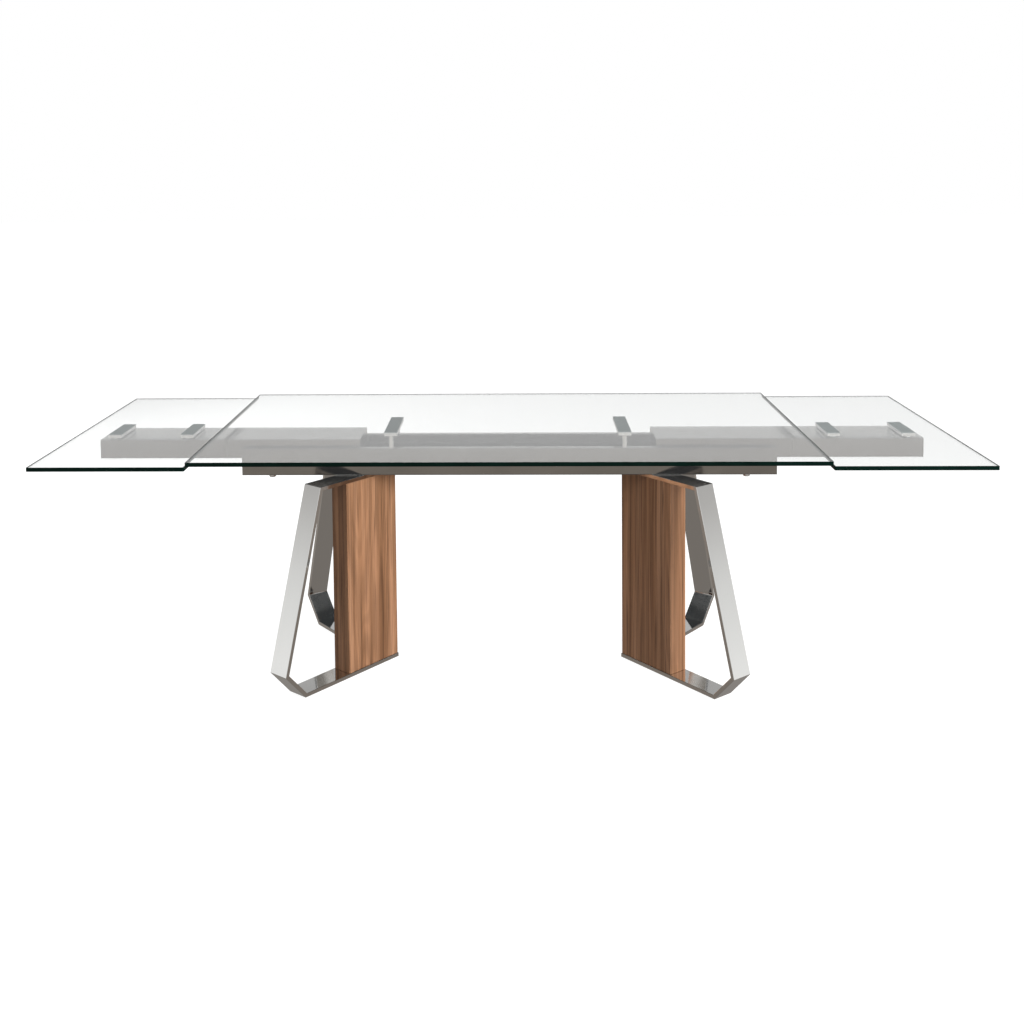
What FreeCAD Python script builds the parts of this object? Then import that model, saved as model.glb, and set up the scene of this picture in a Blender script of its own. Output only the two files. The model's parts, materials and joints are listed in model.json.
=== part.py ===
import FreeCAD, Part
import math
import os
import re

import Sketcher
from FreeCAD import Placement, Rotation, Vector

# An extendable dining table: a glass top on two splayed walnut and steel pedestals. A steel tray under the
# top holds two sliding boxes. Each box carries a glass leaf on brackets that rise once the leaf is out.
# Millimetres. The origin is on the floor under the middle of the table, X runs along it, -Y is its front.
# Every "reach" is a distance from the middle of the table along X, with the leaves pulled out and down.

DIMENSIONS = {
    "TopHeight": 760,
    "GlassLength": 1800,
    "GlassWidth": 1000,
    "GlassThick": 12,
    "GlassArris": 1,
    "GlassCorner": 4,
    "LeafTravel": 450,
    "LeafDrop": 13,
    "LeafSeam": 1.5,
    "TrayReach": 828,
    "TrayHalfWidth": 109,
    "TrayLow": 622,
    "TrayHigh": 697,
    "TrayWall": 3,
    "TrayMouth": 87.5,
    "TrayEndHigh": 660,
    "EarGap": 1.5,
    "BendRadius": 2.5,
    "BoxInner": 460,
    "BoxOuter": 1280,
    "BoxSeam": 879,
    "BoxSeamGap": 1,
    "BoxHalfWidth": 86.5,
    "BoxLow": 661.6,
    "BoxHigh": 720.4,
    "BoxSkin": 2,
    "BeamWall": 3,
    "CapThick": 3,
    "PlateThick": 10,
    "PlateWidth": 40,
    "PlateEdge": 0.8,
    "PadThick": 2,
    "PadGap": 1.5,
    "CentrePlateLength": 225,
    "LeafPlateLength": 150,
    "CentrePlateReach": 362,
    "InnerPlateReach": 1009,
    "OuterPlateReach": 1237,
    "PostDiameter": 16,
    "BoltHole": 6.6,
    "BoltDiameter": 6,
    "BoltHead": 11,
    "BoltHeadHole": 11.6,
    "BoltHeadHeight": 4,
    "CentrePostSpread": 98,
    "LeafPostSpread": 62,
    "NutDiameter": 11,
    "NutHeight": 3.2,
    "BushDiameter": 20,
    "BushHole": 20.2,
    "BushHeight": 8,
    "BushProud": 1,
    "RunningClearance": 0.05,
    "LiftBarHigh": 690,
    "LiftBarThick": 8,
    "LiftBarWidth": 30,
    "LiftBarLength": 145,
    "RailInner": 15,
    "RailOuter": 824,
    "RailMiddle": 56,
    "RailWidth": 30,
    "RailHigh": 655,
    "RailWall": 2,
    "RailMouth": 16,
    "RunnerInner": 465,
    "RunnerOuter": 820,
    "RunnerWidth": 10,
    "GlideLength": 60,
    "GlideFit": 0.15,
    "PlungerReach": 755,
    "KnobDiameter": 21,
    "KnobHeight": 9,
    "KnobNeck": 12,
    "KnobReach": 31,
    "KnobGap": 0.4,
    "PinDiameter": 8,
    "PinHigh": 668,
    "SlotClearance": 0.4,
    "SleeveDiameter": 16,
    "SleeveHole": 16.2,
    "SleeveHigh": 650,
    "ApexReach": 358,
    "ArmAngle": 51.3,
    "BarWidth": 71,
    "BarThick": 12,
    "BarEdge": 0.7,
    "FootRun": 396,
    "HeelRun": 471,
    "HeelHeight": 85,
    "TopRun": 323,
    "PanelLength": 215,
    "PanelThick": 66,
    "PanelEdge": 1,
    "BaseBoltDiameter": 8,
    "BaseBoltHole": 8.6,
    "BaseBoltHead": 14,
    "BaseBoltHeadHeight": 5,
    "BaseBoltLow": 611,
    "BaseBoltFirst": 70,
    "BaseBoltSecond": 130,
    "PanelScrewDiameter": 5,
    "PanelScrewHole": 5.4,
    "PanelScrewHead": 9,
    "PanelScrewHeadHole": 9.6,
    "PanelScrewHeadHeight": 3,
    "PanelScrewHigh": 50,
    "PanelScrewFirst": 85,
    "PanelScrewSecond": 180,
    "FloorGlideDiameter": 30,
    "FloorGlideThick": 2,
    "FloorGlideFirst": 130,
    "FloorGlideSecond": 365,
}

SIDES = {"left": -1, "right": 1}
ENDS = {"front": -1, "rear": 1}

doc = FreeCAD.newDocument("ExtendableDiningTable")
sheet = doc.addObject("Spreadsheet::Sheet", "Dims")
for row, (alias, number) in enumerate(DIMENSIONS.items(), start=1):
    sheet.set(f"A{row}", alias)
    sheet.set(f"B{row}", str(number))
    sheet.setAlias(f"B{row}", alias)
doc.recompute()

nodes = []


# ---------------------------------------------------------------- expressions


def bound(text):
    """Turns "TopHeight - GlassThick" into the same sum over the sheet's cells."""
    return re.sub(r"\b([A-Z]\w*)", r"Dims.\1", str(text))


def bind(thing, **sizes):
    """Binds properties of an object to sums over the sheet."""
    for name, text in sizes.items():
        thing.setExpression(name, bound(text))


def place(thing, x="0", y="0", z="0"):
    """Binds an object's position to sums over the sheet."""
    for axis, text in (("x", x), ("y", y), ("z", z)):
        thing.setExpression(f"Placement.Base.{axis}", bound(text))


def signed(sign, text):
    return f"({text})" if sign > 0 else f"-({text})"


def start_of(side, inner, outer):
    """Where a piece that lies from inner to outer starts along X."""
    return inner if side > 0 else f"-({outer})"


def along(side, inner, outer, reach):
    """A reach measured from the start of a piece that lies from inner to outer."""
    return f"({reach}) - ({inner})" if side > 0 else f"({outer}) - ({reach})"


def arm_point(side, end, run, across):
    """The place in plan of a point of a pedestal arm: run along the arm, across its thickness."""
    x = f"ApexReach + ({run}) * cos(ArmAngle) + ({across}) * sin(ArmAngle)"
    y = f"({run}) * sin(ArmAngle) - ({across}) * cos(ArmAngle)"
    return signed(side, x), signed(end, y)


# ---------------------------------------------------------------- bodies, sketches and features


def node(thing, name):
    """Makes an object one of the table's sub-parts."""
    thing.Label = name
    nodes.append(thing)
    return thing


def new_body(name):
    return node(doc.addObject("PartDesign::Body", name), name)


def sketch_on(body, role, height="0"):
    """A sketch on one of the body's own origin planes, or at a height above it."""
    plane = next(item for item in body.Origin.OriginFeatures if item.Role == role)
    sketch = body.newObject("Sketcher::SketchObject", "Sketch")
    sketch.AttachmentSupport = (plane, [""])
    sketch.MapMode = "FlatFace"
    sketch.setExpression("AttachmentOffset.Base.z", bound(height))
    return sketch


def pin_point(sketch, geometry, point, x, y, now):
    """Binds a point's place in a sketch to sums over the sheet."""
    for kind, text, value in (("DistanceX", x, now.x), ("DistanceY", y, now.y)):
        index = sketch.addConstraint(Sketcher.Constraint(kind, -1, 1, geometry, point, value))
        sketch.setExpression(f"Constraints[{index}]", bound(text))


def draw_outline(sketch, corners):
    """Draws a closed outline whose corners are pairs of sums over the sheet."""
    count = len(corners)
    first = sketch.GeometryCount
    turn = 2 * math.pi / count
    ring = [Vector(300 + 100 * math.cos(i * turn), 300 + 100 * math.sin(i * turn), 0) for i in range(count)]
    for i in range(count):
        sketch.addGeometry(Part.LineSegment(ring[i], ring[(i + 1) % count]))
    for i in range(count):
        sketch.addConstraint(Sketcher.Constraint("Coincident", first + i, 2, first + (i + 1) % count, 1))
    for i, (x, y) in enumerate(corners):
        pin_point(sketch, first + i, 1, x, y, ring[i])


def draw_rectangle(sketch, x_low, x_high, y_low, y_high):
    draw_outline(sketch, [(x_low, y_low), (x_high, y_low), (x_high, y_high), (x_low, y_high)])


def draw_circles(sketch, centres, diameter):
    for x, y in centres:
        now = Vector(10, 10, 0)
        index = sketch.addGeometry(Part.Circle(now, Vector(0, 0, 1), 5))
        pin_point(sketch, index, 3, x, y, now)
        size = sketch.addConstraint(Sketcher.Constraint("Diameter", index, 10))
        sketch.setExpression(f"Constraints[{size}]", bound(diameter))


def pad(body, sketch, length, reverse=False):
    feature = body.newObject("PartDesign::Pad", "Pad")
    feature.Profile = sketch
    feature.Reversed = reverse
    bind(feature, Length=length)
    doc.recompute()


def pocket(body, sketch, depth=None, upward=True):
    """Cuts from the sketch's plane, through everything when no depth is given, and checks that it did."""
    before = body.Shape.Volume
    feature = body.newObject("PartDesign::Pocket", "Pocket")
    feature.Profile = sketch
    feature.Reversed = upward
    if depth is None:
        feature.Type = "ThroughAll"
    else:
        bind(feature, Length=depth)
    doc.recompute()
    if body.Shape.Volume > before - 1:
        raise RuntimeError(f"a pocket of {body.Label} cuts nothing")


def drill(body, centres, diameter, height="0", depth=None, upward=True):
    """Drills round holes along Z, starting from a height."""
    sketch = sketch_on(body, "XY_Plane", height)
    draw_circles(sketch, centres, diameter)
    pocket(body, sketch, depth, upward)


def soften(body, kind, amount, picks=lambda edge: True):
    """Chamfers or rounds the picked edges."""
    tip = body.Tip
    edges = [f"Edge{i}" for i, edge in enumerate(tip.Shape.Edges, start=1) if picks(edge)]
    feature = body.newObject(f"PartDesign::{kind}", kind)
    feature.Base = (tip, edges)
    bind(feature, **{"Size" if kind == "Chamfer" else "Radius": amount})
    doc.recompute()


def ends_of(edge):
    return [vertex.Point for vertex in edge.Vertexes]


def runs_along(edge, axis):
    """Whether a straight edge runs along X (0), Y (1) or Z (2)."""
    if len(edge.Vertexes) != 2 or edge.Curve.TypeId != "Part::GeomLine":
        return False
    a, b = ends_of(edge)
    return abs(abs((b - a)[axis]) - edge.Length) < 1e-6


# ---------------------------------------------------------------- solids from primitives


def cylinder(diameter, height, x, y, z):
    thing = doc.addObject("Part::Cylinder", "Cylinder")
    bind(thing, Radius=f"({diameter}) / 2", Height=height)
    place(thing, x, y, z)
    return thing


def block(x_low, length, y_low, width, z_low, height):
    thing = doc.addObject("Part::Box", "Block")
    bind(thing, Length=length, Width=width, Height=height)
    place(thing, x_low, y_low, z_low)
    return thing


def cut(base, tool):
    thing = doc.addObject("Part::Cut", "Cut")
    thing.Base = base
    thing.Tool = tool
    return thing


def fused(first, second):
    thing = doc.addObject("Part::Fuse", "Fuse")
    thing.Base = first
    thing.Tool = second
    return thing


def tube(diameter, bore, height, x, y, z):
    return cut(cylinder(diameter, height, x, y, z), cylinder(bore, height, x, y, z))


def bolt(diameter, length, head, head_height, x, y, z_head, downward=True):
    """A bolt with a round head whose bearing face is at z_head."""
    shank_z = f"({z_head}) - ({length})" if downward else z_head
    head_z = z_head if downward else f"({z_head}) - ({head_height})"
    return fused(cylinder(diameter, length, x, y, shank_z), cylinder(head, head_height, x, y, head_z))


def group(things, name):
    """Separate solids of one kind that share a node."""
    thing = doc.addObject("Part::Compound", name)
    thing.Links = things
    return node(thing, name)


# ---------------------------------------------------------------- the glass top


def glass(name, length, x, z):
    """A glass plate with rounded corners and ground edges, centred at x, standing on z."""
    body = new_body(name)
    sketch = sketch_on(body, "XY_Plane")
    draw_rectangle(sketch, f"-({length}) / 2", f"({length}) / 2", "-GlassWidth / 2", "GlassWidth / 2")
    pad(body, sketch, "GlassThick")
    soften(body, "Fillet", "GlassCorner", lambda edge: runs_along(edge, 2))
    soften(body, "Chamfer", "GlassArris", lambda edge: not runs_along(edge, 2))
    place(body, x, "0", z)


def centre_glass():
    glass("centre_glass", "GlassLength", "0", "TopHeight - GlassThick")


def leaf_glass(name, side):
    """The leaf starts a seam's width past the centre glass and lies low enough to pass under it."""
    middle = "(GlassLength + LeafTravel + LeafSeam) / 2"
    glass(f"{name}_leaf_glass", "LeafTravel - LeafSeam", signed(side, middle),
          "TopHeight - LeafDrop - GlassThick")


# ---------------------------------------------------------------- brackets under the glass


def plate(name, length, reach_text, spread, z):
    """A bracket plate lying across the table, with counterbored holes over its two posts."""
    body = new_body(name)
    sketch = sketch_on(body, "XY_Plane")
    draw_rectangle(sketch, "-PlateWidth / 2", "PlateWidth / 2", f"-({length}) / 2", f"({length}) / 2")
    pad(body, sketch, "PlateThick")
    soften(body, "Chamfer", "PlateEdge")
    holes = [("0", f"-({spread})"), ("0", spread)]
    drill(body, holes, "BoltHole")
    drill(body, holes, "BoltHeadHole", "PlateThick", "BoltHeadHeight", upward=False)
    place(body, reach_text, "0", z)


def pads(reach_text, length, z):
    """Two bonding pads end to end on top of a plate."""
    pad_length = f"(({length}) - PadGap) / 2"
    return [
        block(f"{reach_text} - PlateWidth / 2", "PlateWidth", y_low, pad_length, z, "PadThick")
        for y_low in (f"-({length}) / 2", "PadGap / 2")
    ]


def centre_brackets():
    """Two plates on posts that stand on the tray's flanges and carry the centre glass."""
    plate_z = "TopHeight - GlassThick - PadThick - PlateThick"
    posts = []
    bolts = []
    nuts = []
    all_pads = []
    for name, side in SIDES.items():
        reach = signed(side, "CentrePlateReach")
        plate(f"{name}_centre_plate", "CentrePlateLength", reach, "CentrePostSpread", plate_z)
        all_pads += pads(reach, "CentrePlateLength", f"{plate_z} + PlateThick")
        for end in ENDS.values():
            y = signed(end, "CentrePostSpread")
            nut_z = "TrayHigh - TrayWall - NutHeight"
            head_z = f"{plate_z} + PlateThick - BoltHeadHeight"
            posts.append(tube("PostDiameter", "BoltHole", f"{plate_z} - TrayHigh", reach, y, "TrayHigh"))
            bolts.append(bolt("BoltDiameter", f"{head_z} - ({nut_z})", "BoltHead", "BoltHeadHeight",
                              reach, y, head_z))
            nuts.append(tube("NutDiameter", "BoltDiameter", "NutHeight", reach, y, nut_z))
    group(all_pads, "centre_pads")
    group(posts, "centre_posts")
    group(bolts, "centre_bolts")
    group(nuts, "centre_nuts")


def leaf_brackets(name, side):
    """Two plates whose posts pass down through the sliding box to lift bars inside it."""
    plate_z = "TopHeight - LeafDrop - GlassThick - PadThick - PlateThick"
    head_z = f"{plate_z} + PlateThick - BoltHeadHeight"
    bar_low = "LiftBarHigh - LiftBarThick"
    posts = []
    bolts = []
    bars = []
    all_pads = []
    for place_name, reach_name in (("inner", "InnerPlateReach"), ("outer", "OuterPlateReach")):
        reach = signed(side, reach_name)
        plate(f"{name}_{place_name}_plate", "LeafPlateLength", reach, "LeafPostSpread", plate_z)
        all_pads += pads(reach, "LeafPlateLength", f"{plate_z} + PlateThick")
        bar = block(f"{reach} - LiftBarWidth / 2", "LiftBarWidth", "-LiftBarLength / 2", "LiftBarLength",
                    bar_low, "LiftBarThick")
        for end in ENDS.values():
            y = signed(end, "LeafPostSpread")
            bar = cut(bar, cylinder("BoltDiameter", "LiftBarThick", reach, y, bar_low))
            post_height = f"{plate_z} - LiftBarHigh"
            posts.append(tube("PostDiameter", "BoltHole", post_height, reach, y, "LiftBarHigh"))
            bolts.append(bolt("BoltDiameter", f"{head_z} - ({bar_low})", "BoltHead", "BoltHeadHeight",
                              reach, y, head_z))
        bars.append(bar)
    group(all_pads, f"{name}_leaf_pads")
    group(posts, f"{name}_leaf_posts")
    group(bolts, f"{name}_leaf_bolts")
    group(bars, f"{name}_lift_bars")


# ---------------------------------------------------------------- the tray and its rails


def tray_channel():
    """A folded steel channel, open on top, with a flange turned in along each side."""
    body = new_body("tray_channel")
    sketch = sketch_on(body, "YZ_Plane")
    wall = "TrayHalfWidth - TrayWall"
    draw_outline(sketch, [
        ("-TrayHalfWidth", "TrayLow"),
        ("TrayHalfWidth", "TrayLow"),
        ("TrayHalfWidth", "TrayHigh"),
        ("TrayMouth", "TrayHigh"),
        ("TrayMouth", "TrayHigh - TrayWall"),
        (wall, "TrayHigh - TrayWall"),
        (wall, "TrayLow + TrayWall"),
        (f"-({wall})", "TrayLow + TrayWall"),
        (f"-({wall})", "TrayHigh - TrayWall"),
        ("-TrayMouth", "TrayHigh - TrayWall"),
        ("-TrayMouth", "TrayHigh"),
        ("-TrayHalfWidth", "TrayHigh"),
    ])
    pad(body, sketch, "2 * TrayReach")
    half_width = DIMENSIONS["TrayHalfWidth"]
    soften(body, "Fillet", "BendRadius",
           lambda edge: runs_along(edge, 0) and abs(abs(ends_of(edge)[0].y) - half_width) < 1e-6)
    floor_holes = []
    for side in SIDES.values():
        for end in ENDS.values():
            for run in ("BaseBoltFirst", "BaseBoltSecond"):
                x, y = arm_point(side, end, run, "BarWidth / 2")
                floor_holes.append((f"TrayReach + {x}", y))
    drill(body, floor_holes, "BaseBoltHole")
    sleeve_holes = [(f"TrayReach + {signed(side, 'PlungerReach')}", "0") for side in SIDES.values()]
    drill(body, sleeve_holes, "SleeveHole")
    flange_holes = [
        (f"TrayReach + {signed(side, 'CentrePlateReach')}", signed(end, "CentrePostSpread"))
        for side in SIDES.values()
        for end in ENDS.values()
    ]
    drill(body, flange_holes, "BoltHole", "TrayHigh - 2 * TrayWall")
    place(body, "-TrayReach")


def tray_end(name, side):
    """What closes the end of the tray: a strip under the sliding box and an ear at each side of it."""
    x = start_of(side, "TrayReach - CapThick", "TrayReach")
    wall = "TrayHalfWidth - TrayWall"
    low = "TrayLow + TrayWall"
    strip = block(x, "CapThick", f"-({wall})", f"2 * ({wall})", low, f"TrayEndHigh - ({low})")
    near = "BoxHalfWidth + EarGap"
    ear_height = "TrayHigh - TrayWall - TrayEndHigh"
    ears = [
        block(x, "CapThick", y_low, f"{wall} - ({near})", "TrayEndHigh", ear_height)
        for y_low in (near, f"-({wall})")
    ]
    group([strip, *ears], f"{name}_tray_end")


def rail(name, side, end):
    """A C-shaped rail on the floor of the tray, open upwards, under one edge of the sliding box."""
    body = new_body(name)
    sketch = sketch_on(body, "YZ_Plane")
    low = "TrayLow + TrayWall"
    near = "(RailMiddle - RailWidth / 2)"
    far = "(RailMiddle + RailWidth / 2)"
    near_lip = "RailMiddle - RailMouth / 2"
    far_lip = "RailMiddle + RailMouth / 2"
    outline = [
        (near, low),
        (far, low),
        (far, "RailHigh"),
        (far_lip, "RailHigh"),
        (far_lip, "RailHigh - RailWall"),
        (f"{far} - RailWall", "RailHigh - RailWall"),
        (f"{far} - RailWall", f"{low} + RailWall"),
        (f"{near} + RailWall", f"{low} + RailWall"),
        (f"{near} + RailWall", "RailHigh - RailWall"),
        (near_lip, "RailHigh - RailWall"),
        (near_lip, "RailHigh"),
        (near, "RailHigh"),
    ]
    draw_outline(sketch, [(signed(end, y), z) for y, z in outline])
    pad(body, sketch, "RailOuter - RailInner")
    place(body, start_of(side, "RailInner", "RailOuter"))


# ---------------------------------------------------------------- the sliding boxes


def box_section(name, side, inner, outer, margin, wall, holes):
    """A rectangular tube along X, inset from the sliding box's outside by a margin.

    Its floor is slotted for the plunger's pin, and its roof is drilled for the bushes it spans.
    """
    body = new_body(name)
    sketch = sketch_on(body, "YZ_Plane")
    for inset in (margin, f"{margin} + {wall}"):
        width = f"BoxHalfWidth - ({inset})"
        draw_rectangle(sketch, f"-({width})", width, f"BoxLow + {inset}", f"BoxHigh - ({inset})")
    pad(body, sketch, f"{outer} - ({inner})")
    if margin == "0":
        half_width = DIMENSIONS["BoxHalfWidth"]
        soften(body, "Fillet", "BendRadius * 0.6",
               lambda edge: runs_along(edge, 0) and abs(abs(ends_of(edge)[0].y) - half_width) < 1e-6)
    slot = sketch_on(body, "XY_Plane")
    slack = "PinDiameter / 2 + SlotClearance"
    near = along(side, inner, outer, f"PlungerReach - ({slack})")
    far = along(side, inner, outer, f"PlungerReach + LeafTravel + {slack}")
    draw_rectangle(slot, near, far, f"-({slack})", slack)
    pocket(body, slot, "(BoxLow + BoxHigh) / 2")
    if holes:
        centres = [
            (along(side, inner, outer, reach), signed(end, "LeafPostSpread"))
            for reach in ("InnerPlateReach", "OuterPlateReach")
            for end in ENDS.values()
        ]
        drill(body, centres, "BushHole", "(BoxLow + BoxHigh) / 2")
    place(body, start_of(side, inner, outer))


def sliding_box(name, side):
    """A beam, the two sheet covers around it and the cap at each end."""
    inside = "BoxSkin"
    box_section(f"{name}_beam", side, "BoxInner + CapThick", "BoxOuter - CapThick", inside, "BeamWall", True)
    box_section(f"{name}_inner_cover", side, "BoxInner", "BoxSeam - BoxSeamGap / 2", "0", "BoxSkin", False)
    box_section(f"{name}_outer_cover", side, "BoxSeam + BoxSeamGap / 2", "BoxOuter", "0", "BoxSkin", True)
    width = f"BoxHalfWidth - {inside}"
    height = f"BoxHigh - BoxLow - 2 * {inside}"
    for cap, inner, outer in (
        ("inner_cap", "BoxInner", "BoxInner + CapThick"),
        ("outer_cap", "BoxOuter - CapThick", "BoxOuter"),
    ):
        x = start_of(side, inner, outer)
        low = f"BoxLow + {inside}"
        node(block(x, "CapThick", f"-({width})", f"2 * ({width})", low, height), f"{name}_{cap}")


def bushes(name, side):
    """Guide bushes in the roof of the sliding box, a running fit on the posts."""
    low = "BoxHigh + BushProud - BushHeight"
    bore = "PostDiameter + 2 * RunningClearance"
    group([
        tube("BushDiameter", bore, "BushHeight", signed(side, reach), signed(end, "LeafPostSpread"), low)
        for reach in ("InnerPlateReach", "OuterPlateReach")
        for end in ENDS.values()
    ], f"{name}_post_bushes")


def runners(name, side):
    """Bars under the sliding box, and the nylon glides below them that run in the rails."""
    bars = []
    glides = []
    glide_low = "TrayLow + TrayWall + RailWall + GlideFit"
    glide_high = "RailHigh - RailWall - GlideFit"
    glide_width = "RailWidth - 2 * (RailWall + GlideFit)"
    for end in ENDS.values():
        middle = signed(end, "RailMiddle")
        x = start_of(side, "RunnerInner", "RunnerOuter")
        y = f"{middle} - RunnerWidth / 2"
        height = f"BoxLow - ({glide_high})"
        bars.append(block(x, "RunnerOuter - RunnerInner", y, "RunnerWidth", glide_high, height))
        for inner in ("RunnerInner", "RunnerOuter - GlideLength"):
            glides.append(block(start_of(side, inner, f"{inner} + GlideLength"), "GlideLength",
                                f"{middle} - ({glide_width}) / 2", glide_width,
                                glide_low, f"{glide_high} - ({glide_low})"))
    group(bars, f"{name}_runner_bars")
    group(glides, f"{name}_runner_glides")


# ---------------------------------------------------------------- the release plungers


def plunger(name, side):
    """A knob under the tray with a pin that runs in the slot of the sliding box and stops it at both ends."""
    x = signed(side, "PlungerReach")
    neck_high = "TrayLow - KnobGap"
    knob_low = f"{neck_high} - KnobReach"
    knob = cylinder("KnobDiameter", "KnobHeight", x, "0", knob_low)
    neck = cylinder("KnobNeck", "KnobReach - KnobHeight", x, "0", f"{knob_low} + KnobHeight")
    pin = cylinder("PinDiameter", f"PinHigh - ({neck_high})", x, "0", neck_high)
    node(fused(fused(knob, neck), pin), f"{name}_plunger")


def plunger_sleeves():
    bore = "PinDiameter + 2 * RunningClearance"
    group([
        tube("SleeveDiameter", bore, "SleeveHigh - TrayLow", signed(side, "PlungerReach"), "0", "TrayLow")
        for side in SIDES.values()
    ], "plunger_sleeves")


# ---------------------------------------------------------------- the pedestals


def stand_on_arm(body, side, end):
    """Turns a body made along X so that it lies along its pedestal arm."""
    angle = end * DIMENSIONS["ArmAngle"]
    turn = angle if side > 0 else 180 - angle
    body.Placement = Placement(Vector(0, 0, 0), Rotation(Vector(0, 0, 1), turn))
    body.setExpression("Placement.Base.x", bound(signed(side, "ApexReach")))


def mitre(body, across):
    """Cuts the inner end of an arm to the plane where it meets its neighbour."""
    sketch = sketch_on(body, "XY_Plane")
    depth = "BarWidth + 10"
    draw_outline(sketch, [
        ("-20", "0"),
        ("0", "0"),
        (f"({depth}) / tan(ArmAngle)", signed(across, depth)),
        ("-20", signed(across, depth)),
    ])
    pocket(body, sketch)


def mitre_edge(edge, across):
    """Whether an edge lies in the mitre plane."""
    lean = math.tan(math.radians(DIMENSIONS["ArmAngle"]))
    return all(abs(point.x * lean - across * point.y) < 1e-4 for point in ends_of(edge))


def inward_corner(before, corner, after, depth):
    """The corner of a line drawn at a depth inside an outline that goes round anticlockwise."""
    first = (corner - before).normalize()
    second = (after - corner).normalize()
    inward_first = Vector(-first.y, first.x, 0)
    inward_second = Vector(-second.y, second.x, 0)
    return corner + (inward_first + inward_second) * (depth / (1 + inward_first.dot(inward_second)))


def draw_bent_bar(sketch):
    """Draws a bent flat bar seen on its edge: foot, heel, leg and top strip, open towards the mitre."""
    low = DIMENSIONS["FloorGlideThick"]
    thick = DIMENSIONS["BarThick"]
    texts = [
        ("0", "FloorGlideThick"),
        ("FootRun", "FloorGlideThick"),
        ("HeelRun", "HeelHeight"),
        ("TopRun", "TrayLow"),
        ("0", "TrayLow"),
    ]
    outer = [
        Vector(0, low, 0),
        Vector(DIMENSIONS["FootRun"], low, 0),
        Vector(DIMENSIONS["HeelRun"], DIMENSIONS["HeelHeight"], 0),
        Vector(DIMENSIONS["TopRun"], DIMENSIONS["TrayLow"], 0),
        Vector(0, DIMENSIONS["TrayLow"], 0),
    ]
    inner = [outer[0] + Vector(0, thick, 0)]
    inner += [inward_corner(outer[i - 1], outer[i], outer[i + 1], thick) for i in (1, 2, 3)]
    inner += [outer[4] - Vector(0, thick, 0)]
    ring = outer + inner[::-1]
    count = len(ring)
    for i in range(count):
        sketch.addGeometry(Part.LineSegment(ring[i], ring[(i + 1) % count]))
    for i in range(count):
        sketch.addConstraint(Sketcher.Constraint("Coincident", i, 2, (i + 1) % count, 1))
    for i, (x, y) in enumerate(texts):
        pin_point(sketch, i, 1, x, y, outer[i])
    for i in (5, 9):
        sketch.addConstraint(Sketcher.Constraint("PointOnObject", i, 1, -2))
    for outer_line, inner_line in ((0, 8), (1, 7), (2, 6), (3, 5)):
        sketch.addConstraint(Sketcher.Constraint("Parallel", outer_line, inner_line))
        index = sketch.addConstraint(Sketcher.Constraint("Distance", inner_line, 1, outer_line, thick))
        sketch.setExpression(f"Constraints[{index}]", bound("BarThick"))


def frame(name, side, end):
    """One arm's bent steel bar, mitred against the arm behind or in front of it."""
    across = -side * end
    body = new_body(name)
    sketch = sketch_on(body, "XZ_Plane")
    draw_bent_bar(sketch)
    pad(body, sketch, "BarWidth", reverse=across > 0)
    mitre(body, across)
    soften(body, "Chamfer", "BarEdge", lambda edge: not mitre_edge(edge, across))
    middle = signed(across, "BarWidth / 2")
    drill(body, [("BaseBoltFirst", middle), ("BaseBoltSecond", middle)], "BaseBoltHole",
          "TrayLow - 2 * BarThick")
    screws = [("PanelScrewFirst", middle), ("PanelScrewSecond", middle)]
    drill(body, screws, "PanelScrewHole", "0", "2 * BarThick")
    drill(body, screws, "PanelScrewHeadHole", "0", "FloorGlideThick + PanelScrewHeadHeight")
    stand_on_arm(body, side, end)


def panel(name, side, end):
    """The walnut slab that fills the inner part of an arm's frame."""
    across = -side * end
    inset = "(BarWidth - PanelThick) / 2"
    body = new_body(name)
    sketch = sketch_on(body, "XY_Plane", "FloorGlideThick + BarThick")
    near = signed(across, inset)
    far = signed(across, f"{inset} + PanelThick")
    draw_rectangle(sketch, "0", "PanelLength", near, far)
    pad(body, sketch, "TrayLow - FloorGlideThick - 2 * BarThick")
    mitre(body, across)
    soften(body, "Chamfer", "PanelEdge", lambda edge: not mitre_edge(edge, across))
    middle = signed(across, "BarWidth / 2")
    drill(body, [("PanelScrewFirst", middle), ("PanelScrewSecond", middle)], "PanelScrewHole", "0",
          "PanelScrewHigh + PanelScrewDiameter")
    stand_on_arm(body, side, end)


def base_fasteners():
    """The bolts that hold the tray to the frames, the panels' screws, and the glides under the feet."""
    bolts = []
    screws = []
    glides = []
    screw_face = "FloorGlideThick + PanelScrewHeadHeight"
    for side in SIDES.values():
        for end in ENDS.values():
            for run in ("BaseBoltFirst", "BaseBoltSecond"):
                x, y = arm_point(side, end, run, "BarWidth / 2")
                face = "TrayLow + TrayWall"
                bolts.append(bolt("BaseBoltDiameter", f"{face} - BaseBoltLow", "BaseBoltHead",
                                  "BaseBoltHeadHeight", x, y, face))
            for run in ("PanelScrewFirst", "PanelScrewSecond"):
                x, y = arm_point(side, end, run, "BarWidth / 2")
                screws.append(bolt("PanelScrewDiameter", f"PanelScrewHigh - ({screw_face})", "PanelScrewHead",
                                   "PanelScrewHeadHeight", x, y, screw_face, downward=False))
            for run in ("FloorGlideFirst", "FloorGlideSecond"):
                x, y = arm_point(side, end, run, "BarWidth / 2")
                glides.append(cylinder("FloorGlideDiameter", "FloorGlideThick", x, y, "0"))
    group(bolts, "base_bolts")
    group(screws, "panel_screws")
    group(glides, "floor_glides")


# ---------------------------------------------------------------- the table


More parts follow.
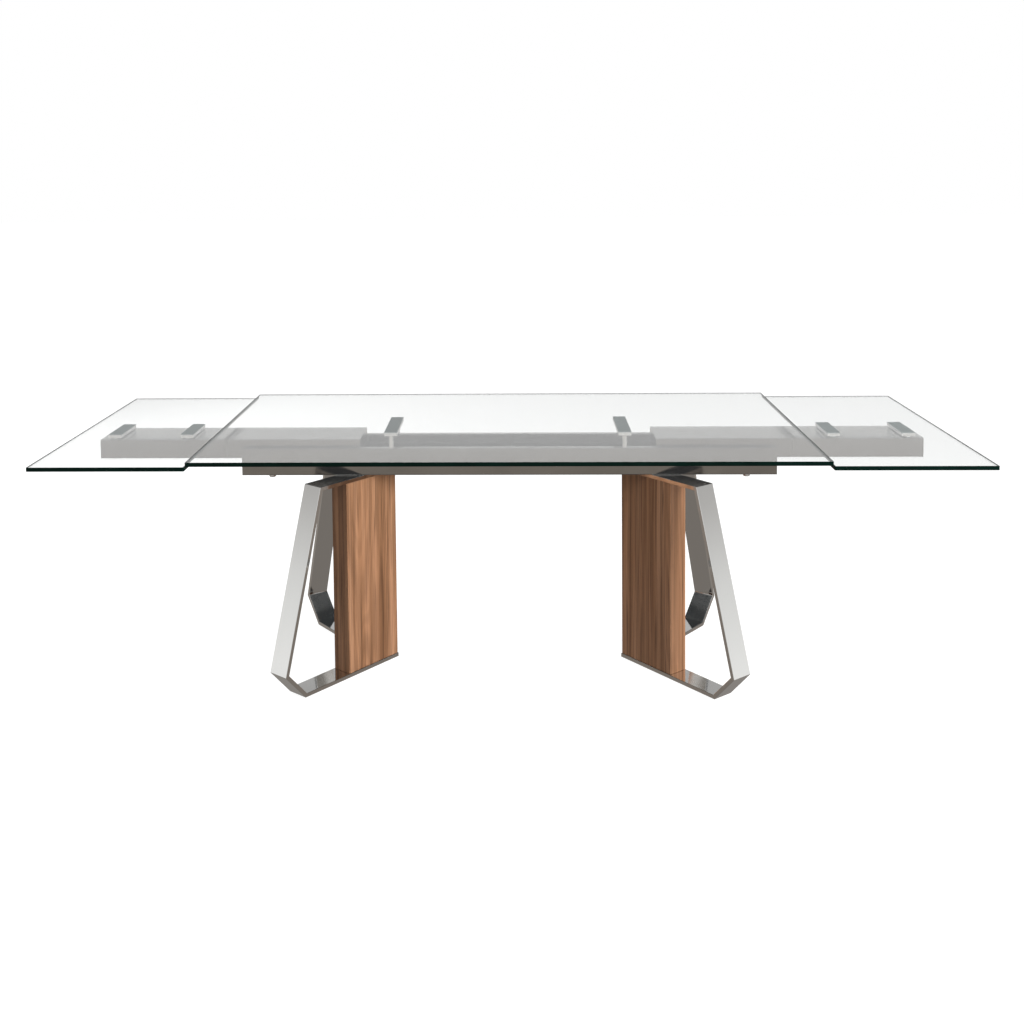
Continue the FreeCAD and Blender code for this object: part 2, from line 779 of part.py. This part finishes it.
def make_table():
    centre_glass()
    centre_brackets()
    tray_channel()
    plunger_sleeves()
    base_fasteners()
    for name, side in SIDES.items():
        tray_end(name, side)
        sliding_box(name, side)
        bushes(name, side)
        runners(name, side)
        leaf_glass(name, side)
        leaf_brackets(name, side)
        plunger(name, side)
        for end_name, end in ENDS.items():
            rail(f"{end_name}_{name}_rail", side, end)
            frame(f"{end_name}_{name}_frame", side, end)
            panel(f"{end_name}_{name}_panel", side, end)


def check_and_write():
    """Refuses a document with a failed object or a bad shape, then writes one file per sub-part."""
    doc.recompute()
    for thing in doc.Objects:
        if "Invalid" in thing.State or "Error" in thing.State:
            raise RuntimeError(f"{thing.Label} failed: {thing.State}")
    os.makedirs("parts", exist_ok=True)
    for thing in nodes:
        if thing.Shape.isNull() or not thing.Shape.isValid():
            raise RuntimeError(f"{thing.Label} has no valid shape")
        thing.Shape.exportStep(f"parts/{thing.Label}.step")
        box = thing.Shape.BoundBox
        low = ", ".join(f"{value:.1f}" for value in (box.XMin, box.YMin, box.ZMin))
        high = ", ".join(f"{value:.1f}" for value in (box.XMax, box.YMax, box.ZMax))
        print(f"{thing.Label}: {len(thing.Shape.Solids)} solids, ({low}) to ({high})")


make_table()
check_and_write()
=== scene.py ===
import json
import math

import bmesh
import bpy
from mathutils import Matrix, Vector


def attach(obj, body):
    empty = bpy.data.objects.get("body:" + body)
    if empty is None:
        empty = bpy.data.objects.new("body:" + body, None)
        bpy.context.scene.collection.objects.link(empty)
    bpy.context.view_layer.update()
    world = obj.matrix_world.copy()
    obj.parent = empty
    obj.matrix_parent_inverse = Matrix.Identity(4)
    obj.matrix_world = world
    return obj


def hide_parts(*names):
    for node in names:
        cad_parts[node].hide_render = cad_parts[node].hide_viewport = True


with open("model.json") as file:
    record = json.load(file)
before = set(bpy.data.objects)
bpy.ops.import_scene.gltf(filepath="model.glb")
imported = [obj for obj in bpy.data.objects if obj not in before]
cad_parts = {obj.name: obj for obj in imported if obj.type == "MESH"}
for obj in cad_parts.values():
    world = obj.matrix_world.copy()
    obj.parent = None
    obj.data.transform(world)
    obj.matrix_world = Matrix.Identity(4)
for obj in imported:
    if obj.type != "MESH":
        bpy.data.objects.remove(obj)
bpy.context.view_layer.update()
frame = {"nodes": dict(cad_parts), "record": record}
scene = bpy.context.scene

# The camera: where it stands, how it is turned, its lens on a 36 mm sensor, and its shift.
CAMERA_PLACE = (0.033, -3.818, 1.590)
CAMERA_DOWN_DEG = 3.5
CAMERA_YAW_DEG = 1.86
CAMERA_ROLL_DEG = -0.57
CAMERA_LENS_MM = 42.67
CAMERA_SHIFT = (0.034, -0.269)

# The room that steel and glass mirror, as (height of the direction, from -1 to 1; linear colour) for the
# wall behind the table, the walls at its sides and the wall in front of it.
BACK_WALL = [
    (-1.00, (0.16, 0.152, 0.145)),
    (-0.20, (0.40, 0.37, 0.34)),
    (-0.08, (0.75, 0.75, 0.75)),
    (0.28, (0.74, 0.74, 0.74)),
    (0.42, (0.38, 0.375, 0.37)),
    (0.55, (0.07, 0.073, 0.076)),
    (1.00, (0.03, 0.032, 0.034)),
]
SIDE_WALLS = [
    (-1.00, (0.19, 0.18, 0.17)),
    (-0.34, (0.22, 0.19, 0.165)),
    (-0.14, (0.36, 0.32, 0.29)),
    (-0.03, (0.96, 0.96, 0.95)),
    (0.04, (0.78, 0.78, 0.77)),
    (0.10, (0.52, 0.51, 0.50)),
    (0.20, (0.34, 0.33, 0.32)),
    (0.45, (0.045, 0.047, 0.049)),
    (1.00, (0.03, 0.032, 0.034)),
]
FRONT_WALL = [
    (-1.00, (0.24, 0.225, 0.21)),
    (-0.45, (0.25, 0.23, 0.205)),
    (-0.25, (0.50, 0.445, 0.385)),
    (-0.10, (0.46, 0.42, 0.38)),
    (0.03, (0.50, 0.50, 0.50)),
    (0.05, (0.95, 0.95, 0.95)),
    (0.14, (0.95, 0.95, 0.95)),
    (0.18, (0.09, 0.092, 0.095)),
    (0.52, (0.09, 0.092, 0.095)),
    (0.56, (2.4, 2.4, 2.4)),
    (0.74, (2.4, 2.4, 2.4)),
    (0.80, (0.06, 0.063, 0.066)),
]

# Where the side walls give way to the back wall and to the front wall, as the direction's Y.
TO_BACK_WALL = (0.25, 0.55)
TO_FRONT_WALL = (-0.30, -0.60)

# What matt surfaces get from all round, and what the floor gives off itself.
AMBIENT_STRENGTH = 0.30
FLOOR_GLOW = 0.93

# The floor's half width, and how far it lies under the feet, in metres.
FLOOR_REACH = 30
FLOOR_DROP = 0.0005

# Each light's name, place, target, size in metres, power in watts and colour.
LIGHTS = [
    ("key", (3.6, -3.0, 1.9), (0, 0, 0.4), (2.2, 2.2), 240, (1.0, 0.985, 0.96)),
    ("side", (2.3, -0.55, 0.45), (0.5, -0.1, 0.25), (0.5, 0.5), 9, (1.0, 0.985, 0.96)),
    ("fill", (-4.0, -3.4, 1.6), (0, 0, 0.4), (2.5, 2.0), 12, (1, 1, 1)),
    ("top", (0, 0.2, 4.2), (0, 0, 0), (4.5, 3.0), 60, (1, 1, 1)),
    ("back", (-2.2, 3.6, 1.8), (0, 0, 0.3), (2.5, 2.0), 70, (1, 1, 1)),
]

# How deep the glass is along Y, and how far in from its ends and its long edges it shows its dark edge.
GLASS_DEPTH = 1.0
GLASS_RIM = (0.0034, 0.0012)

# Vertices round each turned piece, how deep its knurling is, and the angle from which an edge is sharp.
SEGMENTS = 72
KNURL_DEPTH = 0.00045
SHARP_FROM_DEG = 32

# How long a release knob's pin is above its neck.
PIN_LENGTH = 0.0464

# Points of a CAD mesh this close are one point.
WELD_DISTANCE = 0.00001


# ---------------------------------------------------------------- material helpers


class Shader:
    """A node material that starts as one Principled shader, with short calls for the nodes it needs."""

    def __init__(self, name, **inputs):
        self.material = bpy.data.materials.new(name)
        self.material.use_nodes = True
        self.tree = self.material.node_tree
        self.principled = self.tree.nodes["Principled BSDF"]
        self.output = self.tree.nodes["Material Output"]
        for socket, value in inputs.items():
            self.principled.inputs[socket.replace("_", " ")].default_value = value

    def node(self, kind, **inputs):
        made = self.tree.nodes.new(kind)
        for socket, value in inputs.items():
            made.inputs[socket.replace("_", " ")].default_value = value
        return made

    def link(self, source, target):
        self.tree.links.new(source, target)

    def place(self, stretch=(1, 1, 1)):
        """Object coordinates, stretched."""
        where = self.node("ShaderNodeTexCoord")
        mapping = self.node("ShaderNodeMapping", Scale=stretch)
        self.link(where.outputs["Object"], mapping.inputs["Vector"])
        return mapping.outputs["Vector"]

    def noise(self, vector, scale, detail, roughness=0.5, distortion=0.0):
        made = self.node("ShaderNodeTexNoise", Scale=scale, Detail=detail, Roughness=roughness,
                         Distortion=distortion)
        self.link(vector, made.inputs["Vector"])
        return made.outputs["Fac"]

    def ramp(self, factor, stops):
        """Colours or greys along a factor, from (place, colour) pairs."""
        made = self.node("ShaderNodeValToRGB")
        elements = made.color_ramp.elements
        while len(elements) < len(stops):
            elements.new(0.5)
        for element, (place, colour) in zip(elements, stops):
            element.position = place
            element.color = (*colour, 1) if isinstance(colour, tuple) else (colour, colour, colour, 1)
        self.link(factor, made.inputs["Fac"])
        return made.outputs["Color"]

    def maths(self, operation, *values):
        """One sum on sockets and plain numbers."""
        made = self.node("ShaderNodeMath")
        made.operation = operation
        for socket, value in zip(made.inputs, values):
            if isinstance(value, (int, float)):
                socket.default_value = value
            else:
                self.link(value, socket)
        return made.outputs["Value"]

    def multiply(self, factor, first, second):
        """The first colour, multiplied by the second as far as the factor says."""
        made = self.tree.nodes.new("ShaderNodeMix")
        made.data_type = "RGBA"
        made.blend_type = "MULTIPLY"
        made.inputs["Factor"].default_value = factor
        self.link(first, made.inputs["A"])
        self.link(second, made.inputs["B"])
        return made.outputs["Result"]

    def colour(self, source):
        self.link(source, self.principled.inputs["Base Color"])

    def roughness(self, source):
        self.link(source, self.principled.inputs["Roughness"])

    def bump(self, height, strength, distance):
        made = self.node("ShaderNodeBump", Strength=strength, Distance=distance)
        self.link(height, made.inputs["Height"])
        self.link(made.outputs["Normal"], self.principled.inputs["Normal"])


# ---------------------------------------------------------------- materials


def walnut():
    """Walnut veneer, its grain upright: a slow figure of arches, thin dark veins, fine streaks and pores."""
    made = Shader("walnut", Roughness=0.42, Specular_IOR_Level=0.35)
    swell = made.noise(made.place((1, 1, 0.07)), 9, 2, 0.5, 0.3)
    rings = made.maths("SINE", made.maths("MULTIPLY", swell, 60))
    figure = made.ramp(made.maths("MULTIPLY_ADD", rings, 0.5, 0.5),
                       [(0.0, 0.80), (0.5, 0.98), (0.85, 1.06), (1.0, 0.90)])
    bands = made.noise(made.place((1, 1, 0.024)), 30, 3, 0.5, 0.4)
    streaks = made.noise(made.place((1, 1, 0.010)), 130, 4, 0.6, 0.2)
    pores = made.noise(made.place((1, 1, 0.03)), 620, 2, 0.6)
    wide = made.ramp(bands, [
        (0.28, (0.212, 0.099, 0.048)),
        (0.42, (0.316, 0.155, 0.079)),
        (0.55, (0.424, 0.216, 0.116)),
        (0.72, (0.518, 0.277, 0.160)),
    ])
    fine = made.ramp(streaks, [(0.32, 0.48), (0.46, 0.92), (0.75, 1.12)])
    grain = made.multiply(0.8, wide, fine)
    grain = made.multiply(0.9, grain, figure)
    drift = made.noise(made.place((1, 1, 0.009)), 60, 2, 0.5, 0.2)
    off_vein = made.maths("ABSOLUTE", made.maths("SUBTRACT", drift, 0.5))
    veins = made.ramp(off_vein, [(0.0, 0.40), (0.010, 0.55), (0.022, 1.0)])
    grain = made.multiply(0.75, grain, veins)
    specks = made.ramp(pores, [(0.30, 0.45), (0.42, 1.0)])
    made.colour(made.multiply(0.4, grain, specks))
    made.roughness(made.ramp(streaks, [(0.3, 0.50), (0.7, 0.34)]))
    made.bump(pores, 0.25, 0.0004)
    return made.material


def polished_steel():
    """Mirror-polished stainless steel, with the faint waviness and haze of a hand polish."""
    made = Shader("polished_steel", Base_Color=(0.80, 0.80, 0.79, 1), Metallic=1.0, Roughness=0.07)
    haze = made.noise(made.place(), 9, 4, 0.6)
    made.roughness(made.ramp(haze, [(0.3, 0.04), (0.75, 0.10)]))
    made.bump(made.noise(made.place(), 5, 1), 0.06, 0.004)
    return made.material


def bracket_steel():
    """Bright satin steel with a fine even grain, paler and softer than the tray's."""
    made = Shader("bracket_steel", Metallic=0.75, Roughness=0.28)
    grain = made.noise(made.place((1, 0.02, 1)), 800, 3, 0.5)
    made.colour(made.ramp(grain, [(0.3, (0.82, 0.82, 0.82)), (0.7, (0.88, 0.88, 0.875))]))
    made.roughness(made.ramp(grain, [(0.3, 0.26), (0.7, 0.30)]))
    made.bump(grain, 0.02, 0.0001)
    return made.material


def turned_steel():
    """The brackets' steel as turned round bar: fine rings round an upright axis."""
    made = Shader("turned_steel", Metallic=0.85, Roughness=0.22)
    rings = made.noise(made.place((0.01, 0.01, 1)), 2200, 2, 0.5)
    made.colour(made.ramp(rings, [(0.3, (0.78, 0.78, 0.78)), (0.7, (0.87, 0.87, 0.865))]))
    made.roughness(made.ramp(rings, [(0.3, 0.18), (0.7, 0.26)]))
    made.bump(rings, 0.03, 0.0001)
    return made.material


def satin_steel():
    """Sheet steel polished to a soft mirror, with a faint lengthwise brush and a slightly cloudy sheen."""
    made = Shader("satin_steel", Metallic=1.0, Roughness=0.11, Anisotropic=0.2)
    clouds = made.noise(made.place((1.0, 2.2, 2.2)), 3.5, 4, 0.55, 0.4)
    brush = made.noise(made.place((0.012, 1, 1)), 900, 2, 0.5)
    tone = made.ramp(clouds, [(0.30, (0.255, 0.252, 0.248)), (0.70, (0.32, 0.316, 0.31))])
    lines = made.ramp(brush, [(0.3, 0.96), (0.7, 1.02)])
    made.colour(made.multiply(0.6, tone, lines))
    made.roughness(made.ramp(clouds, [(0.3, 0.09), (0.7, 0.14)]))
    made.bump(made.noise(made.place(), 4, 2), 0.05, 0.004)
    return made.material


def structural_steel():
    """Plain cold-rolled steel, a little blotchy."""
    made = Shader("structural_steel", Metallic=1.0, Roughness=0.4)
    blotches = made.noise(made.place(), 30, 4, 0.6)
    made.colour(made.ramp(blotches, [(0.3, (0.44, 0.44, 0.44)), (0.7, (0.58, 0.58, 0.57))]))
    made.roughness(made.ramp(blotches, [(0.3, 0.34), (0.7, 0.48)]))
    return made.material


def fastener_steel():
    """Bright zinc plate with a fine crystalline mottle."""
    made = Shader("fastener_steel", Metallic=1.0, Roughness=0.3)
    mottle = made.noise(made.place(), 260, 3, 0.6)
    made.colour(made.ramp(mottle, [(0.3, (0.52, 0.53, 0.55)), (0.7, (0.66, 0.67, 0.68))]))
    made.roughness(made.ramp(mottle, [(0.3, 0.24), (0.7, 0.38)]))
    return made.material


def bonding_pad():
    """Grey-green bonding pad with a soft, faintly grainy face."""
    made = Shader("bonding_pad", Roughness=0.62, Specular_IOR_Level=0.35)
    grains = made.noise(made.place(), 700, 3, 0.6)
    made.colour(made.ramp(grains, [(0.3, (0.125, 0.165, 0.170)), (0.7, (0.165, 0.212, 0.215))]))
    made.bump(grains, 0.2, 0.0002)
    return made.material


def nylon():
    """Off-white moulded nylon."""
    made = Shader("nylon", Roughness=0.45, Subsurface_Weight=0.1)
    cloud = made.noise(made.place(), 60, 3, 0.5)
    made.colour(made.ramp(cloud, [(0.3, (0.68, 0.67, 0.63)), (0.7, (0.76, 0.75, 0.71))]))
    made.bump(made.noise(made.place(), 900, 2), 0.1, 0.0002)
    return made.material


def clear_glass(length):
    """Float glass of a given length along X, clear through its faces and dark green through its cut edges.

    A narrow rim of the faces is dark too, because it shows the edge below it. Shadow rays pass straight
    through, so that light reaches the steel under the glass.
    """
    made = Shader("clear_glass", Base_Color=(0.975, 0.988, 0.982, 1), Roughness=0.0, IOR=1.5,
                  Transmission_Weight=1.0)
    edge = made.node("ShaderNodeBsdfPrincipled", Roughness=0.12, IOR=1.5, Specular_IOR_Level=0.06)
    tone = made.noise(made.place((1, 1, 0.2)), 14, 3, 0.5)
    made.link(made.ramp(tone, [(0.3, (0.0008, 0.0065, 0.005)), (0.7, (0.0015, 0.012, 0.009))]),
              edge.inputs["Base Color"])
    facing = made.node("ShaderNodeNewGeometry")
    normal = made.node("ShaderNodeSeparateXYZ")
    made.link(facing.outputs["True Normal"], normal.inputs["Vector"])
    flat = made.maths("GREATER_THAN", made.maths("ABSOLUTE", normal.outputs["Z"]), 0.9)
    spot = made.node("ShaderNodeSeparateXYZ")
    made.link(made.node("ShaderNodeTexCoord").outputs["Generated"], spot.inputs["Vector"])
    inside = flat
    for axis, size, rim in (("X", length, GLASS_RIM[0]), ("Y", GLASS_DEPTH, GLASS_RIM[1])):
        from_middle = made.maths("ABSOLUTE", made.maths("SUBTRACT", spot.outputs[axis], 0.5))
        clear_of_rim = made.maths("LESS_THAN", from_middle, 0.5 - rim / size)
        inside = made.maths("MULTIPLY", inside, clear_of_rim)
    by_face = made.node("ShaderNodeMixShader")
    made.link(inside, by_face.inputs["Fac"])
    made.link(edge.outputs["BSDF"], by_face.inputs[1])
    made.link(made.principled.outputs["BSDF"], by_face.inputs[2])
    clear = made.node("ShaderNodeBsdfTransparent", Color=(0.97, 0.985, 0.98, 1))
    rays = made.node("ShaderNodeLightPath")
    by_ray = made.node("ShaderNodeMixShader")
    made.link(rays.outputs["Is Shadow Ray"], by_ray.inputs["Fac"])
    made.link(by_face.outputs["Shader"], by_ray.inputs[1])
    made.link(clear.outputs["BSDF"], by_ray.inputs[2])
    made.link(by_ray.outputs["Shader"], made.output.inputs["Surface"])
    return made.material


MATERIALS = {
    "walnut": walnut,
    "polished_steel": polished_steel,
    "bracket_steel": bracket_steel,
    "turned_steel": turned_steel,
    "satin_steel": satin_steel,
    "structural_steel": structural_steel,
    "fastener_steel": fastener_steel,
    "bonding_pad": bonding_pad,
    "nylon": nylon,
}


def finish_cad_nodes():
    """Gives every CAD node the material of its slot in the record, and the posts the same steel turned."""
    made = {name: build() for name, build in MATERIALS.items()}
    for part in frame["record"]["subparts"]:
        thing = frame["nodes"][part["node"]]
        slot = part["material_slot"]
        if slot == "clear_glass":
            made_of = clear_glass(thing.dimensions.x)
        elif part["node"].endswith("_posts"):
            made_of = made["turned_steel"]
        else:
            made_of = made[slot]
        thing.data.materials.clear()
        thing.data.materials.append(made_of)
    return made


# ---------------------------------------------------------------- built pieces


def ring_of(work, place, height, radii):
    """A closed ring of vertices round an upright axis, one for each radius."""
    x, y = place
    turn = 2 * math.pi / len(radii)
    return [
        work.verts.new((x + radius * math.cos(turn * step), y + radius * math.sin(turn * step), height))
        for step, radius in enumerate(radii)
    ]


def skin(work, rings):
    """Joins a stack of rings into a closed solid."""
    for low, high in zip(rings, rings[1:]):
        for step in range(len(low)):
            after = (step + 1) % len(low)
            work.faces.new((low[step], low[after], high[after], high[step]))
    work.faces.new(reversed(rings[0]))
    work.faces.new(rings[-1])


def even(radius):
    """The radii of a circle."""
    return [radius] * SEGMENTS


def fluted(radius):
    """The radii of straight knurling: every second vertex is drawn in."""
    return [radius - (KNURL_DEPTH if step % 2 else 0) for step in range(SEGMENTS)]


def hexagon(across_flats):
    """The radii of a hexagon."""
    sixth = math.pi / 3
    return [
        across_flats / 2 / math.cos((2 * math.pi * step / SEGMENTS) % sixth - sixth / 2)
        for step in range(SEGMENTS)
    ]


def solids_of(node):
    """The middle, lowest and highest point of each separate solid of a CAD node."""
    work = bmesh.new()
    work.from_mesh(node.data)
    work.transform(node.matrix_world)
    bmesh.ops.remove_doubles(work, verts=work.verts, dist=WELD_DISTANCE)
    left = set(work.verts)
    found = []
    while left:
        queue = [left.pop()]
        island = []
        while queue:
            vert = queue.pop()
            island.append(vert.co.copy())
            for edge in vert.link_edges:
                other = edge.other_vert(vert)
                if other in left:
                    left.remove(other)
                    queue.append(other)
        low = [min(point[axis] for point in island) for axis in range(3)]
        high = [max(point[axis] for point in island) for axis in range(3)]
        found.append((((low[0] + high[0]) / 2, (low[1] + high[1]) / 2), low[2], high[2]))
    work.free()
    return sorted(found)


def finish_piece(work, name, material, slot, body, *nodes):
    """Turns the mesh into a shaded piece that stands for some CAD nodes and rides on their body."""
    bmesh.ops.recalc_face_normals(work, faces=work.faces)
    mesh = bpy.data.meshes.new(name)
    work.to_mesh(mesh)
    work.free()
    piece = bpy.data.objects.new(name, mesh)
    scene.collection.objects.link(piece)
    mesh.materials.append(material)
    mesh.shade_smooth()
    mesh.set_sharp_from_angle(angle=math.radians(SHARP_FROM_DEG))
    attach(piece, body)
    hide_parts(*nodes)


def build_knobs(materials):
    """Turned knobs with a dished face, a knurled rim, a waisted neck and a pin with a chamfered tip."""
    for side in ("left", "right"):
        place, low, high = solids_of(frame["nodes"][f"{side}_plunger"])[0]
        work = bmesh.new()
        neck_high = high - PIN_LENGTH
        skin(work, [ring_of(work, place, height, radii) for height, radii in (
            (low + 0.0011, even(0.0005)),
            (low + 0.0009, even(0.0060)),
            (low, even(0.0072)),
            (low, even(0.0094)),
            (low + 0.0006, even(0.0100)),
            (low + 0.0013, fluted(0.0105)),
            (low + 0.0077, fluted(0.0105)),
            (low + 0.0084, even(0.0100)),
            (low + 0.0090, even(0.0093)),
            (low + 0.0090, even(0.0067)),
            (low + 0.0096, even(0.0060)),
            (low + 0.0125, even(0.0052)),
            (low + 0.0190, even(0.0050)),
            (low + 0.0250, even(0.0054)),
            (neck_high - 0.0006, even(0.0060)),
            (neck_high, even(0.0056)),
            (neck_high, even(0.0040)),
            (high - 0.0008, even(0.0040)),
            (high, even(0.0032)),
        )])
        finish_piece(work, f"{side}_release_knob", materials["turned_steel"], "bracket_steel",
                     f"{side}_plunger", f"{side}_plunger")


def build_base_bolts(materials):
    """Button-head screws with hexagon sockets, which hold the tray to the pedestals."""
    work = bmesh.new()
    for place, low, high in solids_of(frame["nodes"]["base_bolts"]):
        skin(work, [ring_of(work, place, height, radii) for height, radii in (
            (low + 0.0030, even(0.0006)),
            (low + 0.0026, hexagon(0.0050)),
            (low + 0.0003, hexagon(0.0050)),
            (low, hexagon(0.0055)),
            (low, even(0.0038)),
            (low + 0.0005, even(0.0050)),
            (low + 0.0015, even(0.0062)),
            (low + 0.0030, even(0.0069)),
            (low + 0.0045, even(0.0070)),
            (low + 0.0050, even(0.0068)),
            (low + 0.0050, even(0.0040)),
            (high - 0.0006, even(0.0040)),
            (high, even(0.0034)),
        )])
    finish_piece(work, "socket_head_bolts", materials["fastener_steel"], "fastener_steel",
                 "base", "base_bolts")


# ---------------------------------------------------------------- camera, floor and light


def add_camera():
    data = bpy.data.cameras.new("camera")
    data.sensor_width = 36
    data.lens = CAMERA_LENS_MM
    data.shift_x, data.shift_y = CAMERA_SHIFT
    data.dof.use_dof = False
    camera = bpy.data.objects.new("camera", data)
    scene.collection.objects.link(camera)
    camera.location = CAMERA_PLACE
    yaw = Matrix.Rotation(math.radians(CAMERA_YAW_DEG), 4, "Z")
    pitch = Matrix.Rotation(math.radians(90 - CAMERA_DOWN_DEG), 4, "X")
    roll = Matrix.Rotation(math.radians(CAMERA_ROLL_DEG), 4, "Z")
    camera.rotation_euler = (yaw @ pitch @ roll).to_euler()
    scene.camera = camera


def add_floor():
    """A wide pale floor, seen directly or through glass. Steel mirrors the room's lower part instead."""
    mesh = bpy.data.meshes.new("floor")
    work = bmesh.new()
    bmesh.ops.create_grid(work, x_segments=1, y_segments=1, size=FLOOR_REACH)
    work.to_mesh(mesh)
    work.free()
    floor = bpy.data.objects.new("floor", mesh)
    scene.collection.objects.link(floor)
    floor.location.z = -FLOOR_DROP
    floor.visible_glossy = False
    floor.visible_diffuse = False
    made = Shader("floor", Roughness=0.9, Specular_IOR_Level=0.0, Emission_Color=(1, 1, 1, 1),
                  Emission_Strength=FLOOR_GLOW)
    cloud = made.noise(made.place(), 0.6, 2)
    made.colour(made.ramp(cloud, [(0.3, 0.24), (0.7, 0.26)]))
    floor.data.materials.append(made.material)


def add_room():
    """White for the camera, an even dim light for matt surfaces, and a room for steel and glass to mirror."""
    world = bpy.data.worlds.new("room")
    world.use_nodes = True
    scene.world = world
    tree = world.node_tree
    mirrored = tree.nodes["Background"]
    where = tree.nodes.new("ShaderNodeTexCoord")
    parts = tree.nodes.new("ShaderNodeSeparateXYZ")
    tree.links.new(where.outputs["Generated"], parts.inputs["Vector"])
    half = tree.nodes.new("ShaderNodeMath")
    half.operation = "MULTIPLY_ADD"
    half.inputs[1].default_value = 0.5
    half.inputs[2].default_value = 0.5
    tree.links.new(parts.outputs["Z"], half.inputs[0])

    def wall(bands):
        ramp = tree.nodes.new("ShaderNodeValToRGB")
        elements = ramp.color_ramp.elements
        while len(elements) < len(bands):
            elements.new(0.5)
        for element, (height, colour) in zip(elements, bands):
            element.position = (height + 1) / 2
            element.color = (*colour, 1)
        tree.links.new(half.outputs["Value"], ramp.inputs["Fac"])
        return ramp.outputs["Color"]

    def blend(first, second, start, end):
        """Goes from the first wall to the second as the direction's Y goes from start to end."""
        part = tree.nodes.new("ShaderNodeMapRange")
        part.inputs["From Min"].default_value = start
        part.inputs["From Max"].default_value = end
        tree.links.new(parts.outputs["Y"], part.inputs["Value"])
        mix = tree.nodes.new("ShaderNodeMix")
        mix.data_type = "RGBA"
        tree.links.new(part.outputs["Result"], mix.inputs["Factor"])
        tree.links.new(first, mix.inputs["A"])
        tree.links.new(second, mix.inputs["B"])
        return mix.outputs["Result"]

    around = blend(wall(SIDE_WALLS), wall(BACK_WALL), *TO_BACK_WALL)
    around = blend(around, wall(FRONT_WALL), *TO_FRONT_WALL)
    tree.links.new(around, mirrored.inputs["Color"])
    rays = tree.nodes.new("ShaderNodeLightPath")
    shown = mirrored.outputs["Background"]
    for kind, strength in (("Is Diffuse Ray", AMBIENT_STRENGTH), ("Is Camera Ray", 1.0)):
        plain = tree.nodes.new("ShaderNodeBackground")
        plain.inputs["Color"].default_value = (1, 1, 1, 1)
        plain.inputs["Strength"].default_value = strength
        choose = tree.nodes.new("ShaderNodeMixShader")
        tree.links.new(rays.outputs[kind], choose.inputs["Fac"])
        tree.links.new(shown, choose.inputs[1])
        tree.links.new(plain.outputs["Background"], choose.inputs[2])
        shown = choose.outputs["Shader"]
    tree.links.new(shown, tree.nodes["World Output"].inputs["Surface"])


def add_light(name, place, target, size, watts, colour):
    """A soft rectangular light that steel and glass don't show."""
    data = bpy.data.lights.new(name, "AREA")
    data.shape = "RECTANGLE"
    data.size, data.size_y = size
    data.energy = watts
    data.color = colour
    light = bpy.data.objects.new(name, data)
    scene.collection.objects.link(light)
    light.location = place
    aim = Vector(target) - Vector(place)
    light.rotation_euler = aim.to_track_quat("-Z", "Y").to_euler()
    light.visible_camera = False
    light.visible_glossy = False
    light.visible_transmission = False


# ---------------------------------------------------------------- the scene


scene.view_settings.view_transform = "Standard"
add_camera()
add_room()
add_floor()
for light in LIGHTS:
    add_light(*light)
finishes = finish_cad_nodes()
build_knobs(finishes)
build_base_bolts(finishes)
